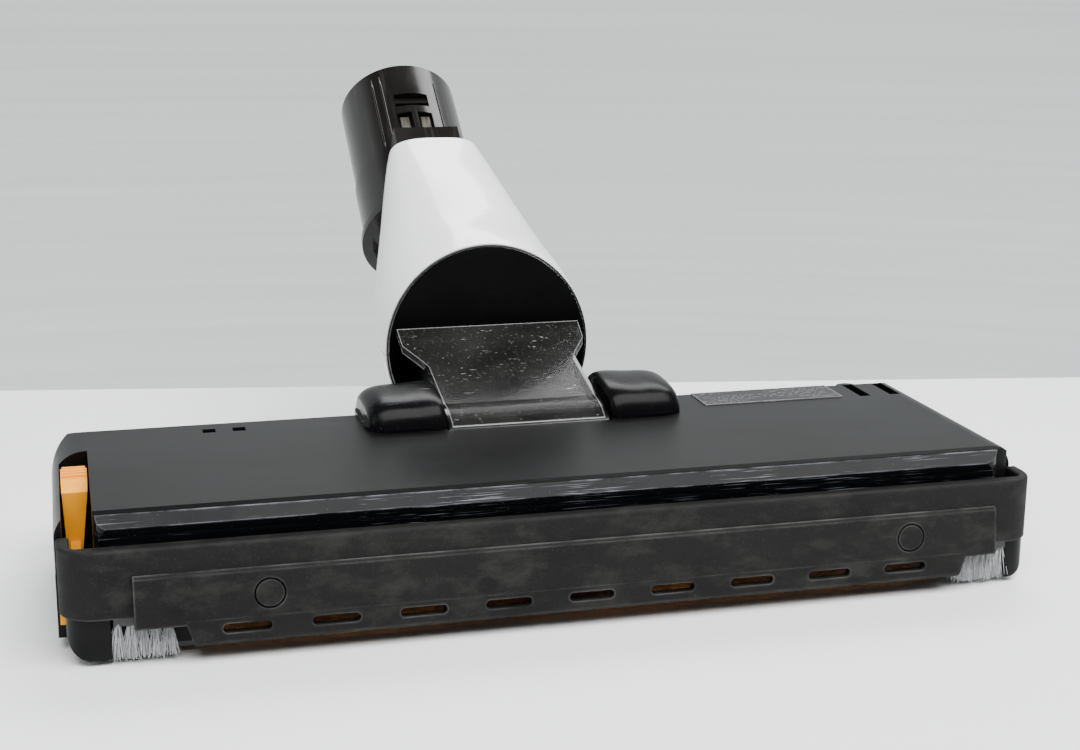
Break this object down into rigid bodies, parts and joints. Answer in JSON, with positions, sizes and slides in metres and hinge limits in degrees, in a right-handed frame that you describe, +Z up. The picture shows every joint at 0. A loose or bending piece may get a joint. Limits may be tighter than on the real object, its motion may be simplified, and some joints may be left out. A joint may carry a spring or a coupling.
{
  "type": "powered vacuum cleaner floor head",
  "caption": "Wide motor-driven vacuum floor head with rubber bumper, side release lever, tilting elbow and swivelling neck ending in a pipe stub.",
  "frame": {"origin": "centre of the glide strip's underside, on the floor", "axes": "+X along the head, +Y from the bumper to the pipe, +Z up"},
  "size_m": [0.2615, 0.2774, 0.125],
  "materials": {
    "black_gloss": "gloss",
    "black_satin": "satin",
    "grey_rubber": "dusty",
    "inner_plastic": "matte",
    "label": "satin",
    "glide": "matte",
    "steel": "brushed",
    "white_bristle": "fibres",
    "brush_red": "gloss",
    "brass": "satin",
    "brush_bristle": "fibres",
    "blade_rubber": "satin",
    "copper": "wound",
    "belt_rubber": "matte",
    "board": "satin",
    "wheel_rubber": "matte",
    "orange_plastic": "satin",
    "smoky_window": "clear",
    "white_gloss": "gloss",
    "ring_grey": "satin",
    "hose": "satin",
    "pipe_black": "gloss",
    "contact": "plated"
  },
  "bodies": {
    "head": {"base_housing": "black_gloss", "board_components": "inner_plastic", "board_posts": "inner_plastic", "bristle_holders": "inner_plastic", "brush_bearings": "brass", "bumper": "grey_rubber", "circuit_board": "board", "corner_bristles": "white_bristle", "drive_belt": "belt_rubber", "front_panel": "grey_rubber", "front_trim": "black_gloss", "glide_strip": "glide", "hinge_cap_left": "black_gloss", "hinge_cap_right": "black_gloss", "housing_screws": "steel", "lever_pin": "steel", "lever_spring": "steel", "motor_can": "steel", "motor_cradle": "inner_plastic", "motor_end_cap": "steel", "motor_front_bearing": "steel", "panel_plugs": "grey_rubber", "pivot_block_left": "inner_plastic", "pivot_block_right": "inner_plastic", "rating_label": "label", "sole_frame": "inner_plastic", "top_cover": "black_satin", "wheel_axles": "steel"},
    "elbow": {"elbow_duct": "black_gloss", "clear_window": "smoky_window", "elbow_flange": "black_gloss", "swivel_collar": "inner_plastic", "swivel_retainer": "inner_plastic", "trunnion_pins": "inner_plastic"},
    "neck": {"upper_shell": "white_gloss", "lower_shell": "white_gloss", "rim_ring": "ring_grey", "swivel_ring": "inner_plastic", "air_hose": "hose", "inner_tube": "pipe_black", "connector_pipe": "pipe_black", "latch_bar": "pipe_black", "terminal_contacts": "contact", "terminal_block": "pipe_black"},
    "brush_roll": {"brush_shaft": "steel", "brush_core": "brush_red", "brush_pulley": "inner_plastic", "brush_bristles": "brush_bristle", "brush_blades": "blade_rubber"},
    "motor_rotor": {"motor_shaft": "steel", "motor_armature": "copper", "motor_pulley": "brass"},
    "wheel_l": {"wheel_left": "wheel_rubber"},
    "wheel_r": {"wheel_right": "wheel_rubber"},
    "lever": {"release_lever": "orange_plastic"}
  },
  "joints": [
    {"name": "neck_pitch", "type": "hinge", "parent": "head", "child": "elbow", "pos_m": [0, 0.0215, 0.0225], "axis": [1, 0, 0], "range_deg": [-6, 45]},
    {"name": "neck_swivel", "type": "hinge", "parent": "elbow", "child": "neck", "pos_m": [0, 0.065, 0.0483], "axis": [0, 1, 0], "range_deg": [-90, 90]},
    {"name": "brush_spin", "type": "hinge", "parent": "head", "child": "brush_roll", "pos_m": [0, -0.027, 0.017], "axis": [1, 0, 0], "continuous": true},
    {"name": "motor_spin", "type": "hinge", "parent": "head", "child": "motor_rotor", "pos_m": [0.08, 0.021, 0.0196], "axis": [1, 0, 0], "continuous": true},
    {"name": "wheel_left_spin", "type": "hinge", "parent": "head", "child": "wheel_l", "pos_m": [-0.052, 0.035, 0.008], "axis": [1, 0, 0], "continuous": true},
    {"name": "wheel_right_spin", "type": "hinge", "parent": "head", "child": "wheel_r", "pos_m": [0.052, 0.035, 0.008], "axis": [1, 0, 0], "continuous": true},
    {"name": "lever_press", "type": "hinge", "parent": "head", "child": "lever", "pos_m": [-0.127, -0.034, 0.015], "axis": [1, 0, 0], "range_deg": [-6, 0], "stiffness_Nm_per_rad": 0.05, "springref_deg": 5.73, "deforming": ["lever_spring"]}
  ],
  "couplings": [
    {"joint": "motor_spin", "follows": "brush_spin", "ratio": 1.6}
  ]
}
